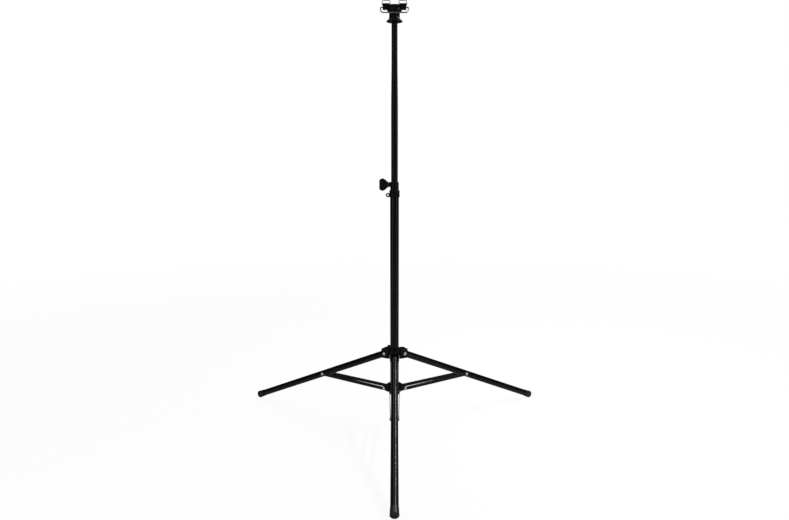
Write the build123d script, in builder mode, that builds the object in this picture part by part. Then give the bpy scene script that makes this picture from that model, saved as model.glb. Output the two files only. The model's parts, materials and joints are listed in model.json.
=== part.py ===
"""Telescopic tripod stand with a small cradle head, in millimetres, +Z up.

The origin lies on the floor, straight below the column. One leg points to -Y and the other two
stand 120 degrees either side of it. The legs hang on a hub that slides on the column, and pairs of
flat struts tie each leg to a second hub fixed at the column's lower end. A thinner mast slides in the
column and carries a cradle: two end blocks with wire bails, and a bell-shaped nut below them.
"""
import os
from math import asin, atan2, cos, degrees, hypot, radians, sin, sqrt

from build123d import *

os.makedirs("parts", exist_ok=True)

# ---------------------------------------------------------------- driving dimensions

# clearances
moving_gap = 0.3            # between pieces that move past each other
pin_fit = 0.06              # radial, a pin that turns in its hole
seat_fit = 0.05             # radial, a piece pressed or glued in place
cut_over = 1.0              # how far a cut runs past what it cuts away

# column and mast
lower_tube_d = 25.0
tube_wall = 1.2
lower_tube_bottom_z = 105.0
lower_tube_length = 598.0
mast_d = 19.0
mast_tip_d = 16.6
mast_length = 640.0
mast_overlap = 151.0        # length of mast inside the column as it stands
mast_taper_start = 389.0    # from the lower end of the mast
mast_taper_length = 125.0
plug_flange_height = 3.5
plug_flange_round = 2.1
plug_depth = 8.0
plug_end_round = 1.0
mast_plug_round = 1.2
bush_length = 35.0
bush_chamfer = 0.8
bead_height = 2.0
bead_rise = 0.9

# legs
leg_azimuths = {"front": -90.0, "right": 30.0, "left": 150.0}
leg_d = 19.4
leg_wall = 1.2
leg_reach = 538.0           # leg pivot to the centre of the foot's round
leg_overhang = 7.5          # leg end behind the pivot
leg_plug_length = 22.0
leg_plug_flange = 1.5
foot_d = 23.0
foot_round = 3.5
foot_cover = 19.0           # rubber cap over the leg, behind the round
foot_mouth_d = 20.6
foot_waist_d = 21.8         # where the short lip meets the long flare
foot_lip_length = 6.0
foot_sole = 5.0             # rubber between the tube end and the start of the round

# sliding hub that carries the legs
hub_pivot_z = 226.0
hub_sleeve_wall = 2.7
hub_sleeve_below = 13.2
hub_sleeve_above = 19.5
hub_cheek = 3.2
hub_nose = 9.2              # cheek edge beyond the pivot
hub_roof_radius = 60.0
hub_roof_top = 15.0         # crown of the roof above the pivot
hub_rim_round = 1.0
hub_toe_corner = 2.0

# fixed hub that carries the struts
foot_hub_pivot_z = 120.0
foot_hub_wall = 3.0
foot_hub_below = 10.0
foot_hub_above = 18.0
lug_half_width = 13.0
lug_cheek = 4.0
lug_nose = 5.7
lug_nose_end = 53.0         # how far the round of the nose runs above level, in degrees
lug_roof = 3.0
lug_ledge = 4.0             # flat on top of a lug, next to the sleeve
lug_inner_ledge = 1.5       # the same inside the hollow of the lug
lug_top_drop = 1.5          # top of the lugs below the top of the sleeve
lug_front_opening = 1.0     # the hollow opens at the nose up to this height above the pivot

# struts
strut_on_leg = 247.0        # strut pivot, from the leg pivot
strut_width = 10.0
strut_thickness = 1.5

# rivets
rivet_d = 6.0
rivet_head_d = 9.6
rivet_head_height = 1.6

# clamp collar and its wing screw
collar_band_d = 29.2
collar_band_length = 20.0
collar_cover = 18.0         # band over the tube, the rest of it is a shoulder above the tube's end
collar_sleeve_d = 24.2
collar_sleeve_length = 23.5
collar_round = 1.2
clamp_screw_above = 18.0    # screw axis above the top of the lower tube
clamp_boss_d = 14.0
clamp_boss_reach = 17.3
screw_d = 6.0
shoe_length = 1.6
eyelet_d = 12.0
eyelet_hole_d = 4.8
eyelet_thickness = 4.4
eyelet_reach = 18.6
eyelet_web = 8.4            # height of the web between the eyelet and the band
eyelet_above = 6.3          # eyelet centre above the lower edge of the collar
wing_length = 26.0
wing_half_span = 17.6
wing_thickness = 8.0
wing_neck_d = 14.0
wing_neck_length = 7.8
wing_widest = 15.1          # from the neck to the widest place
wing_end_share = 0.86       # width of the outer end over the full width
wing_dip = 0.6              # dip in the middle of the outer end
wing_round = 5.0
wing_edge_round = 1.8
screw_in_wing = 9.0
screw_chamfer = 0.6

# lock screw of the sliding hub
hub_screw_above = 5.0       # screw axis above the leg pivots
hub_boss_d = 13.0
hub_boss_reach = 20.0
hub_wing_half_span = 24.0
hub_wing_tilt = 23.0

# head
head_cover = 22.0           # head socket over the mast tip
stem_d = 24.0
stem_slit_width = 1.6
stem_slit_length = 9.0
boss_d = 39.6
boss_foot_round = 3.4
boss_foot_drop = 4.0        # boss foot below the mast tip
boss_height = 7.8
deck_half_length = 13.3
deck_half_depth = 12.0
deck_height = 12.3
tenon_half_depth = 5.0
tenon_height = 4.0
tenon_reach = 14.2
tenon_lift = 5.2            # tenon above the boss
block_length = 18.9
block_half_depth = 9.8
block_height = 14.9
block_round = 2.0
block_end_round = 0.8
cradle_screw_d = 3.5
cradle_screw_head_d = 6.6
cradle_screw_head = 1.9
cradle_screw_bite = 8.1

# bell nut
bell_neck_d = 29.5
bell_neck_height = 9.2
bell_rim_d = 44.6
bell_height = 24.9
bell_rim_round = 1.4
bell_rim_set = 0.4          # foot of the flare inside the rim
bell_floor = 2.8
bell_mouth_d = 37.0
flute_count = 12
flute_d = 3.0
flute_depth = 0.6
flute_start = 15.0          # degrees from +X to the first flute
flute_lip = 1.0             # plain neck above the flutes
bell_flare_bow = 2.4        # how far the flare curves in from a straight cone

# wire bails
front_wire_d = 3.4
front_bail_half = 38.0
front_bail_straight = 33.5
front_bail_shoulder = 14.0
front_bail_corner = 3.4
front_bail_drop = 17.4      # pivot to cross wire, downwards
front_bail_forward = 18.6   # pivot to cross wire, forwards
front_bail_below_top = 9.2  # pivot below the top of the end blocks
top_wire_d = 2.0
top_bail_rise = 12.5
top_bail_corner = 3.0
top_bail_bend = 1.4         # bend of the wire into its pivot hole
top_bail_below_top = 3.7
bail_bite = 3.2             # wire end inside its block

# ---------------------------------------------------------------- places worked out from them

lower_tube_r = lower_tube_d / 2
lower_tube_bore_r = lower_tube_r - tube_wall
lower_tube_top_z = lower_tube_bottom_z + lower_tube_length
mast_r = mast_d / 2
mast_tip_r = mast_tip_d / 2
mast_bottom_z = lower_tube_top_z - mast_overlap
mast_top_z = mast_bottom_z + mast_length

leg_r = leg_d / 2
leg_swing_r = hypot(leg_overhang, leg_r) + moving_gap
hub_bore_r = lower_tube_r + moving_gap
hub_sleeve_r = hub_bore_r + hub_sleeve_wall
pivot_r = hub_sleeve_r + leg_swing_r + moving_gap
leg_slot_half = leg_r + moving_gap
hub_cheek_half = leg_slot_half + hub_cheek
rivet_r = rivet_d / 2

# the leg's slope puts the lowest point of the round foot on the floor
foot_core_r = foot_d / 2 - foot_round
leg_slope = degrees(
    asin((hub_pivot_z - foot_round) / hypot(leg_reach, foot_core_r)) - atan2(foot_core_r, leg_reach)
)
strut_leg_r = pivot_r + strut_on_leg * cos(radians(leg_slope))
strut_leg_z = hub_pivot_z - strut_on_leg * sin(radians(leg_slope))
strut_hub_offset = lug_half_width + moving_gap + strut_thickness / 2
strut_leg_offset = leg_r + moving_gap + strut_thickness / 2
foot_hub_r = lower_tube_r + seat_fit + foot_hub_wall
rivet_crown_r = (rivet_head_d**2 / 4 + rivet_head_height**2) / (2 * rivet_head_height)


def radial(azimuth):
    """Unit vector from the column towards one leg."""
    return Vector(cos(radians(azimuth)), sin(radians(azimuth)), 0)


def across(azimuth):
    """Unit vector along the hinge pins of one leg."""
    return Vector(sin(radians(azimuth)), -cos(radians(azimuth)), 0)


def leg_side(azimuth):
    """Plane of one leg: its x is the distance from the column's axis and its y is the height."""
    return Plane(origin=(0, 0, 0), x_dir=radial(azimuth), z_dir=across(azimuth))


def leg_line(azimuth, distance):
    """Plane square to one leg's axis, at a distance from the leg pivot."""
    slope = radians(leg_slope)
    along = radial(azimuth) * cos(slope) - Vector(0, 0, 1) * sin(slope)
    pivot = radial(azimuth) * pivot_r + Vector(0, 0, hub_pivot_z)
    return Plane(origin=pivot + along * distance, x_dir=across(azimuth), z_dir=along)


def strut_side(azimuth, side):
    """Plane in the middle of one strut's thickness, with x from the fixed hub to the leg."""
    pin = across(azimuth) * side
    start = radial(azimuth) * pivot_r + Vector(0, 0, foot_hub_pivot_z) + pin * strut_hub_offset
    end = radial(azimuth) * strut_leg_r + Vector(0, 0, strut_leg_z) + pin * strut_leg_offset
    line = (end - start).normalized()
    outward = pin - line * pin.dot(line)
    return Plane(origin=start, x_dir=line, z_dir=outward), (end - start).length


def rivet_profile(half_grip):
    """Half section of a rivet along y, with a domed head beyond each end of its grip."""
    with BuildSketch() as profile:
        with BuildLine():
            for end in (1, -1):
                seat = end * half_grip
                crown = end * (half_grip + rivet_head_height)
                Line((rivet_d / 2, seat), (rivet_head_d / 2, seat))
                RadiusArc((rivet_head_d / 2, seat), (0, crown), -end * rivet_crown_r)
            Line((rivet_d / 2, half_grip), (rivet_d / 2, -half_grip))
            Line((0, half_grip + rivet_head_height), (0, -half_grip - rivet_head_height))
        make_face()
    return profile.sketch


def half_rivet_profile(grip):
    """Half section along y of one rivet head with the stub that fills its hole."""
    with BuildSketch() as profile:
        with BuildLine():
            Polyline((0, 0), (rivet_d / 2, 0), (rivet_d / 2, grip), (rivet_head_d / 2, grip))
            RadiusArc((rivet_head_d / 2, grip), (0, grip + rivet_head_height), -rivet_crown_r)
            Line((0, grip + rivet_head_height), (0, 0))
        make_face()
    return profile.sketch


def finish(part, name):
    """Name a finished piece and write it."""
    part.part.label = name
    export_step(part.part, f"parts/{name}.step")


# ---------------------------------------------------------------- column

# steel tube that everything else is threaded on
with BuildPart() as lower_tube:
    with BuildSketch(Plane.XY.offset(lower_tube_bottom_z)):
        Circle(lower_tube_r)
        Circle(lower_tube_bore_r, mode=Mode.SUBTRACT)
    extrude(amount=lower_tube_length)
finish(lower_tube, "lower_tube")

# plastic plug that closes the tube's lower end
with BuildPart() as column_plug:
    with BuildSketch(Plane.XY.offset(lower_tube_bottom_z - plug_flange_height)):
        Circle(lower_tube_r)
    extrude(amount=plug_flange_height)
    fillet(column_plug.edges().group_by(Axis.Z)[0], plug_flange_round)
    with BuildSketch(Plane.XY.offset(lower_tube_bottom_z)):
        Circle(lower_tube_bore_r - seat_fit)
    extrude(amount=plug_depth)
    fillet(column_plug.edges().group_by(Axis.Z)[-1], plug_end_round)
finish(column_plug, "column_plug")

# clamp collar: a band around the column's upper end and a narrower sleeve around the mast,
# with a boss for the wing screw and an eyelet for a cord
collar_bottom_z = lower_tube_top_z - collar_cover
collar_band_top_z = collar_bottom_z + collar_band_length
collar_top_z = collar_band_top_z + collar_sleeve_length
clamp_z = lower_tube_top_z + clamp_screw_above
shoe_start = mast_r + moving_gap
with BuildPart() as clamp_collar:
    with BuildSketch(Plane.XY.offset(collar_bottom_z)):
        Circle(collar_band_d / 2)
    extrude(amount=collar_band_length)
    fillet(clamp_collar.edges().filter_by(GeomType.CIRCLE), collar_round)
    with BuildSketch(Plane.XY.offset(collar_band_top_z - collar_round)):
        Circle(collar_sleeve_d / 2)
    extrude(amount=collar_sleeve_length + collar_round)
    fillet(clamp_collar.edges().group_by(Axis.Z)[-1], collar_round)
    with BuildSketch(Plane(origin=(0, 0, clamp_z), x_dir=(0, 1, 0), z_dir=(-1, 0, 0))):
        Circle(clamp_boss_d / 2)
    extrude(amount=clamp_boss_reach)
    with BuildSketch(Plane.XZ):
        with Locations((-eyelet_reach, collar_bottom_z + eyelet_above)):
            Circle(eyelet_d / 2)
        with Locations((-eyelet_reach / 2, collar_bottom_z + eyelet_above)):
            Rectangle(eyelet_reach, eyelet_web)
    extrude(amount=eyelet_thickness / 2, both=True)
    with BuildSketch(Plane.XY.offset(collar_bottom_z)):
        Circle(lower_tube_r + seat_fit)
    extrude(amount=collar_cover + seat_fit, mode=Mode.SUBTRACT)
    with BuildSketch(Plane.XY.offset(lower_tube_top_z)):
        Circle(mast_r + moving_gap)
    extrude(amount=collar_top_z - lower_tube_top_z, mode=Mode.SUBTRACT)
    with BuildSketch(Plane(origin=(0, 0, clamp_z), x_dir=(0, 1, 0), z_dir=(-1, 0, 0))):
        Circle(screw_d / 2 + pin_fit)
    extrude(amount=clamp_boss_reach, mode=Mode.SUBTRACT)
    with BuildSketch(Plane.XZ):
        with Locations((-eyelet_reach, collar_bottom_z + eyelet_above)):
            Circle(eyelet_hole_d / 2)
    extrude(amount=eyelet_thickness / 2, both=True, mode=Mode.SUBTRACT)
finish(clamp_collar, "clamp_collar")

# brass shoe that the wing screw pushes against the mast
with BuildPart() as clamp_shoe:
    with BuildSketch(Plane(origin=(-shoe_start, 0, clamp_z), x_dir=(0, 1, 0), z_dir=(-1, 0, 0))):
        Circle(screw_d / 2 - seat_fit)
    extrude(amount=shoe_length)
finish(clamp_shoe, "clamp_shoe")

# fixed hub: a sleeve on the column with three hollow lugs for the struts
lug_top_z = foot_hub_pivot_z + foot_hub_above - lug_top_drop
nose_low = (pivot_r, foot_hub_pivot_z - lug_nose)
nose_tip = (pivot_r + lug_nose, foot_hub_pivot_z)
nose_high = (
    pivot_r + lug_nose * cos(radians(lug_nose_end)),
    foot_hub_pivot_z + lug_nose * sin(radians(lug_nose_end)),
)
with BuildPart() as lower_hub:
    with BuildSketch(Plane.XY.offset(foot_hub_pivot_z - foot_hub_below)):
        Circle(foot_hub_r)
    extrude(amount=foot_hub_below + foot_hub_above)
    for azimuth in leg_azimuths.values():
        with BuildSketch(leg_side(azimuth)):
            with BuildLine():
                Polyline(
                    nose_high,
                    (foot_hub_r + lug_ledge, lug_top_z),
                    (lower_tube_r, lug_top_z),
                    (lower_tube_r, foot_hub_pivot_z - lug_nose),
                    nose_low,
                )
                ThreePointArc(nose_low, nose_tip, nose_high)
            make_face()
        extrude(amount=lug_half_width, both=True)
    for azimuth in leg_azimuths.values():
        with BuildSketch(leg_side(azimuth)):
            with BuildLine():
                Polyline(
                    (foot_hub_r, foot_hub_pivot_z - lug_nose - cut_over),
                    (pivot_r + lug_nose, foot_hub_pivot_z - lug_nose - cut_over),
                    (pivot_r + lug_nose, foot_hub_pivot_z + lug_front_opening),
                    (foot_hub_r + lug_inner_ledge, lug_top_z - lug_roof),
                    (foot_hub_r, lug_top_z - lug_roof),
                    close=True,
                )
            make_face()
        extrude(amount=lug_half_width - lug_cheek, both=True, mode=Mode.SUBTRACT)
        with BuildSketch(leg_side(azimuth)):
            with Locations((pivot_r, foot_hub_pivot_z)):
                Circle(rivet_r + seat_fit)
        extrude(amount=lug_half_width, both=True, mode=Mode.SUBTRACT)
    with BuildSketch(Plane.XY.offset(foot_hub_pivot_z - foot_hub_below)):
        Circle(lower_tube_r + seat_fit)
    extrude(amount=foot_hub_below + foot_hub_above, mode=Mode.SUBTRACT)
finish(lower_hub, "lower_hub")

# steel rivets through the lugs, on which the struts turn
strut_outer = lug_half_width + 2 * moving_gap + strut_thickness
strut_pivot_profile = rivet_profile(strut_outer)
with BuildPart() as strut_pivot_rivets:
    for azimuth in leg_azimuths.values():
        seat = radial(azimuth) * pivot_r + Vector(0, 0, foot_hub_pivot_z)
        with BuildSketch(Plane(origin=seat, x_dir=radial(azimuth), z_dir=(0, 0, -1))):
            add(strut_pivot_profile)
        revolve(axis=Axis(seat, across(azimuth)))
finish(strut_pivot_rivets, "strut_pivot_rivets")

# ---------------------------------------------------------------- mast

# steel mast: its upper end is drawn down to a thinner tip, and a rolled bead keeps the bush below it
bush_bottom_z = mast_bottom_z
bush_top_z = bush_bottom_z + bush_length
taper_low_z = mast_bottom_z + mast_taper_start
taper_high_z = taper_low_z + mast_taper_length
with BuildPart() as upper_tube:
    with BuildSketch(Plane.XZ):
        with BuildLine():
            Polyline(
                (mast_r, mast_bottom_z),
                (mast_r, bush_top_z + pin_fit),
                (mast_r + bead_rise, bush_top_z + pin_fit),
                (mast_r + bead_rise, bush_top_z + pin_fit + bead_height),
                (mast_r, bush_top_z + pin_fit + bead_height),
                (mast_r, taper_low_z),
                (mast_tip_r, taper_high_z),
                (mast_tip_r, mast_top_z),
                (mast_tip_r - tube_wall, mast_top_z),
                (mast_tip_r - tube_wall, taper_high_z),
                (mast_r - tube_wall, taper_low_z),
                (mast_r - tube_wall, mast_bottom_z),
                close=True,
            )
        make_face()
    revolve(axis=Axis.Z)
finish(upper_tube, "upper_tube")

# nylon bush that guides the mast inside the column, and in which the mast turns
with BuildPart() as mast_bush:
    with BuildSketch(Plane.XY.offset(bush_bottom_z)):
        Circle(lower_tube_bore_r - moving_gap)
        Circle(mast_r + pin_fit, mode=Mode.SUBTRACT)
    extrude(amount=bush_length)
    chamfer(mast_bush.edges().filter_by(GeomType.CIRCLE).sort_by(SortBy.RADIUS)[-2:], bush_chamfer)
finish(mast_bush, "mast_bush")

# plug in the mast's lower end, whose flange carries the bush
with BuildPart() as mast_end_plug:
    with BuildSketch(Plane.XY.offset(mast_bottom_z - plug_flange_height)):
        Circle(lower_tube_bore_r - 2 * moving_gap)
    extrude(amount=plug_flange_height - pin_fit)
    fillet(mast_end_plug.edges().group_by(Axis.Z)[0], mast_plug_round)
    with BuildSketch(Plane.XY.offset(mast_bottom_z - pin_fit)):
        Circle(mast_r - tube_wall - seat_fit)
    extrude(amount=plug_depth)
finish(mast_end_plug, "mast_end_plug")

# ---------------------------------------------------------------- wing screws


def wing_outline(half_span):
    """Flat outline of a heart-shaped wing, from its neck at x = 0 outwards."""
    with BuildSketch() as outline:
        with BuildLine():
            Polyline(
                (0, wing_neck_d / 2),
                (wing_widest, half_span),
                (wing_length, half_span * wing_end_share),
                (wing_length - wing_dip, 0),
                (wing_length, -half_span * wing_end_share),
                (wing_widest, -half_span),
                (0, -wing_neck_d / 2),
                close=True,
            )
        make_face()
        corners = outline.vertices().filter_by(lambda corner: abs(corner.Y) > wing_neck_d / 2 + wing_dip)
        fillet(corners, wing_round)
    return outline.sketch


def wing_plane(origin, outward, span_dir):
    """Plane of a wing, with x away from the boss and y along the wing."""
    normal = Vector(outward).cross(Vector(span_dir))
    return Plane(origin=origin, x_dir=outward, z_dir=normal)


# wing of the clamp screw
clamp_axis = Vector(-1, 0, 0)
clamp_boss_face = Vector(-clamp_boss_reach - moving_gap, 0, clamp_z)
with BuildPart() as clamp_wing:
    with BuildSketch(wing_plane(clamp_boss_face, clamp_axis, (0, 0, 1))):
        add(wing_outline(wing_half_span))
    extrude(amount=wing_thickness / 2, both=True)
    fillet(clamp_wing.faces().filter_by(Axis.Y).edges(), wing_edge_round)
    with BuildSketch(Plane(origin=clamp_boss_face, x_dir=(0, 1, 0), z_dir=clamp_axis)):
        Circle(wing_neck_d / 2)
    extrude(amount=wing_neck_length)
    with BuildSketch(Plane(origin=clamp_boss_face, x_dir=(0, 1, 0), z_dir=clamp_axis)):
        Circle(screw_d / 2 + seat_fit)
    extrude(amount=screw_in_wing, mode=Mode.SUBTRACT)
finish(clamp_wing, "clamp_wing")

# its steel screw, from the shoe into the wing
clamp_screw_start = shoe_start + shoe_length + moving_gap
clamp_screw_length = clamp_boss_reach + moving_gap + screw_in_wing - seat_fit - clamp_screw_start
with BuildPart() as clamp_screw:
    with BuildSketch(Plane(origin=(-clamp_screw_start, 0, clamp_z), x_dir=(0, 1, 0), z_dir=clamp_axis)):
        Circle(screw_d / 2)
    extrude(amount=clamp_screw_length)
    chamfer(clamp_screw.edges().group_by(Axis.X)[-1], screw_chamfer)
finish(clamp_screw, "clamp_screw")

# ---------------------------------------------------------------- sliding hub

hub_bottom_z = hub_pivot_z - hub_sleeve_below
hub_screw_z = hub_pivot_z + hub_screw_above
roof_centre_z = hub_pivot_z + hub_roof_top - hub_roof_radius
nose_r = pivot_r + hub_nose
roof_nose_z = roof_centre_z + sqrt(hub_roof_radius**2 - (nose_r - pivot_r) ** 2)
roof_back_z = roof_centre_z + sqrt(hub_roof_radius**2 - (lower_tube_r - pivot_r) ** 2)
hub_rear = Vector(0, 1, 0)

# moulded hub: a sleeve that slides on the column, with three hooded clevises for the legs and a
# boss at the back for the lock screw
with BuildPart() as upper_hub:
    with BuildSketch(Plane.XY.offset(hub_bottom_z)):
        Circle(hub_sleeve_r)
    extrude(amount=hub_sleeve_below + hub_sleeve_above)
    fillet(upper_hub.edges().group_by(Axis.Z)[-1], hub_rim_round)
    for azimuth in leg_azimuths.values():
        with BuildSketch(leg_side(azimuth)):
            with BuildLine():
                Polyline(
                    (lower_tube_r, roof_back_z),
                    (lower_tube_r, hub_bottom_z),
                    (nose_r - hub_toe_corner, hub_bottom_z),
                    (nose_r, hub_bottom_z + hub_toe_corner),
                    (nose_r, roof_nose_z),
                )
                RadiusArc((nose_r, roof_nose_z), (lower_tube_r, roof_back_z), -hub_roof_radius)
            make_face()
        extrude(amount=hub_cheek_half, both=True)
    with BuildSketch(Plane(origin=(0, 0, hub_screw_z), x_dir=(1, 0, 0), z_dir=hub_rear)):
        Circle(hub_boss_d / 2)
    extrude(amount=hub_boss_reach)
    for azimuth in leg_azimuths.values():
        with BuildSketch(leg_side(azimuth)):
            with Locations((pivot_r, hub_pivot_z)):
                Circle(leg_swing_r)
            with Locations((pivot_r - leg_swing_r, hub_pivot_z)):
                Rectangle(
                    leg_swing_r + hub_nose + cut_over,
                    hub_sleeve_below + cut_over,
                    align=(Align.MIN, Align.MAX),
                )
        extrude(amount=leg_slot_half, both=True, mode=Mode.SUBTRACT)
        with BuildSketch(leg_side(azimuth)):
            with Locations((pivot_r, hub_pivot_z)):
                Circle(rivet_r + seat_fit)
        extrude(amount=hub_cheek_half, both=True, mode=Mode.SUBTRACT)
    with BuildSketch(Plane.XY.offset(hub_bottom_z)):
        Circle(hub_bore_r)
    extrude(amount=hub_sleeve_below + hub_sleeve_above, mode=Mode.SUBTRACT)
    with BuildSketch(Plane(origin=(0, 0, hub_screw_z), x_dir=(1, 0, 0), z_dir=hub_rear)):
        Circle(screw_d / 2 + pin_fit)
    extrude(amount=hub_boss_reach, mode=Mode.SUBTRACT)
finish(upper_hub, "upper_hub")

# steel rivets on which the legs turn
leg_pivot_profile = rivet_profile(hub_cheek_half)
with BuildPart() as leg_pivot_rivets:
    for azimuth in leg_azimuths.values():
        seat = radial(azimuth) * pivot_r + Vector(0, 0, hub_pivot_z)
        with BuildSketch(Plane(origin=seat, x_dir=radial(azimuth), z_dir=(0, 0, -1))):
            add(leg_pivot_profile)
        revolve(axis=Axis(seat, across(azimuth)))
finish(leg_pivot_rivets, "leg_pivot_rivets")

# lock screw of the hub, at the back between two legs
hub_shoe_start = lower_tube_r + moving_gap
with BuildPart() as hub_shoe:
    with BuildSketch(Plane(origin=(0, hub_shoe_start, hub_screw_z), x_dir=(1, 0, 0), z_dir=hub_rear)):
        Circle(screw_d / 2 - seat_fit)
    extrude(amount=shoe_length)
finish(hub_shoe, "hub_shoe")

hub_boss_face = Vector(0, hub_boss_reach + moving_gap, hub_screw_z)
hub_wing_dir = Vector(-cos(radians(hub_wing_tilt)), 0, sin(radians(hub_wing_tilt)))
with BuildPart() as hub_wing:
    with BuildSketch(wing_plane(hub_boss_face, hub_rear, hub_wing_dir)):
        add(wing_outline(hub_wing_half_span))
    extrude(amount=wing_thickness / 2, both=True)
    wing_normal = Axis(hub_boss_face, hub_rear.cross(hub_wing_dir))
    fillet(hub_wing.faces().filter_by(wing_normal).edges(), wing_edge_round)
    with BuildSketch(Plane(origin=hub_boss_face, x_dir=(1, 0, 0), z_dir=hub_rear)):
        Circle(wing_neck_d / 2)
    extrude(amount=wing_neck_length)
    with BuildSketch(Plane(origin=hub_boss_face, x_dir=(1, 0, 0), z_dir=hub_rear)):
        Circle(screw_d / 2 + seat_fit)
    extrude(amount=screw_in_wing, mode=Mode.SUBTRACT)
finish(hub_wing, "hub_wing")

hub_screw_start = hub_shoe_start + shoe_length + moving_gap
hub_screw_length = hub_boss_reach + moving_gap + screw_in_wing - seat_fit - hub_screw_start
with BuildPart() as hub_screw:
    with BuildSketch(Plane(origin=(0, hub_screw_start, hub_screw_z), x_dir=(1, 0, 0), z_dir=hub_rear)):
        Circle(screw_d / 2)
    extrude(amount=hub_screw_length)
    chamfer(hub_screw.edges().group_by(Axis.Y)[0], screw_chamfer)
finish(hub_screw, "hub_screw")

# ---------------------------------------------------------------- legs

leg_tube_start = leg_plug_flange - leg_overhang
leg_tube_end = leg_reach - foot_sole
foot_start = leg_reach - foot_cover
for leg, azimuth in leg_azimuths.items():
    pivot = radial(azimuth) * pivot_r + Vector(0, 0, hub_pivot_z)
    strut_seat = leg_line(azimuth, strut_on_leg).origin

    # round steel tube, drilled for the leg pivot and for the strut pivot
    with BuildPart() as leg_tube:
        with BuildSketch(leg_line(azimuth, leg_tube_start)):
            Circle(leg_r)
            Circle(leg_r - leg_wall, mode=Mode.SUBTRACT)
        extrude(amount=leg_tube_end - leg_tube_start)
        for centre in (pivot, strut_seat):
            with BuildSketch(Plane(origin=centre, x_dir=radial(azimuth), z_dir=across(azimuth))):
                Circle(rivet_r + pin_fit)
            extrude(amount=leg_d, both=True, mode=Mode.SUBTRACT)
    finish(leg_tube, f"leg_tube_{leg}")

    # nylon plug in the hub end of the tube, which the pivot rivet passes through
    with BuildPart() as leg_plug:
        with BuildSketch(leg_line(azimuth, -leg_overhang)):
            Circle(leg_r)
        extrude(amount=leg_plug_flange)
        with BuildSketch(leg_line(azimuth, leg_tube_start)):
            Circle(leg_r - leg_wall - seat_fit)
        extrude(amount=leg_plug_length)
        with BuildSketch(Plane(origin=pivot, x_dir=radial(azimuth), z_dir=across(azimuth))):
            Circle(rivet_r + pin_fit)
        extrude(amount=leg_d, both=True, mode=Mode.SUBTRACT)
    finish(leg_plug, f"leg_plug_{leg}")

    # pin through the tube that joins the two struts
    with BuildPart() as strut_pin:
        with BuildSketch(Plane(origin=strut_seat, x_dir=radial(azimuth), z_dir=across(azimuth))):
            Circle(rivet_r)
        extrude(amount=leg_r, both=True)
    finish(strut_pin, f"strut_pin_{leg}")

    # rubber cap: a short lip over the tube, then a flare to a flat sole with a rounded edge
    cap_plane = leg_line(azimuth, 0)
    with BuildPart() as foot_cap:
        with BuildSketch(Plane(origin=pivot, x_dir=across(azimuth), z_dir=cap_plane.y_dir)):
            with BuildLine():
                Polyline(
                    (leg_r + seat_fit, -leg_tube_end),
                    (leg_r + seat_fit, -foot_start),
                    (foot_mouth_d / 2, -foot_start),
                    (foot_waist_d / 2, -foot_start - foot_lip_length),
                    (foot_d / 2, -leg_reach),
                )
                RadiusArc((foot_d / 2, -leg_reach), (foot_core_r, -leg_reach - foot_round), foot_round)
                Polyline(
                    (foot_core_r, -leg_reach - foot_round),
                    (0, -leg_reach - foot_round),
                    (0, -leg_tube_end),
                    (leg_r + seat_fit, -leg_tube_end),
                )
            make_face()
        revolve(axis=Axis(pivot, cap_plane.z_dir))
    finish(foot_cap, f"foot_cap_{leg}")

# ---------------------------------------------------------------- struts

half_rivet = half_rivet_profile(strut_thickness)
for leg, azimuth in leg_azimuths.items():
    # two flat steel strips that flank the leg, spread a little at the fixed hub
    with BuildPart() as strut_strips:
        for side in (1, -1):
            strip_plane, strip_length = strut_side(azimuth, side)
            with BuildSketch(strip_plane):
                with Locations((strip_length / 2, 0)):
                    SlotCenterToCenter(strip_length, strut_width)
                with Locations((0, 0), (strip_length, 0)):
                    Circle(rivet_r + pin_fit, mode=Mode.SUBTRACT)
            extrude(amount=strut_thickness / 2, both=True)
    finish(strut_strips, f"strut_strips_{leg}")

    # rivet heads on the strips, at the leg end
    with BuildPart() as strut_rivets:
        for side in (1, -1):
            strip_plane, strip_length = strut_side(azimuth, side)
            inner_face = strip_plane.origin + strip_plane.x_dir * strip_length
            inner_face = inner_face - strip_plane.z_dir * strut_thickness / 2
            turned = strip_plane.x_dir.cross(strip_plane.z_dir)
            with BuildSketch(Plane(origin=inner_face, x_dir=strip_plane.x_dir, z_dir=turned)):
                add(half_rivet)
            revolve(axis=Axis(inner_face, strip_plane.z_dir))
    finish(strut_rivets, f"strut_rivets_{leg}")

# ---------------------------------------------------------------- head

boss_foot_z = mast_top_z - boss_foot_drop
boss_top_z = boss_foot_z + boss_height
stem_bottom_z = mast_top_z - head_cover
stem_bore_r = mast_tip_r + pin_fit
block_end = deck_half_length + block_length
block_top_z = boss_top_z + block_height
front_pivot_z = block_top_z - front_bail_below_top
top_pivot_z = block_top_z - top_bail_below_top
tenon_end = deck_half_length + tenon_reach
tenon_bottom_z = boss_top_z + tenon_lift
top_leg_gap = moving_gap + top_wire_d / 2
top_bail_inner = deck_half_length - top_leg_gap
top_bail_outer = block_end + top_leg_gap
groove_width = top_wire_d + 2 * moving_gap
groove_floor_z = top_pivot_z - top_wire_d / 2 - moving_gap

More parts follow.
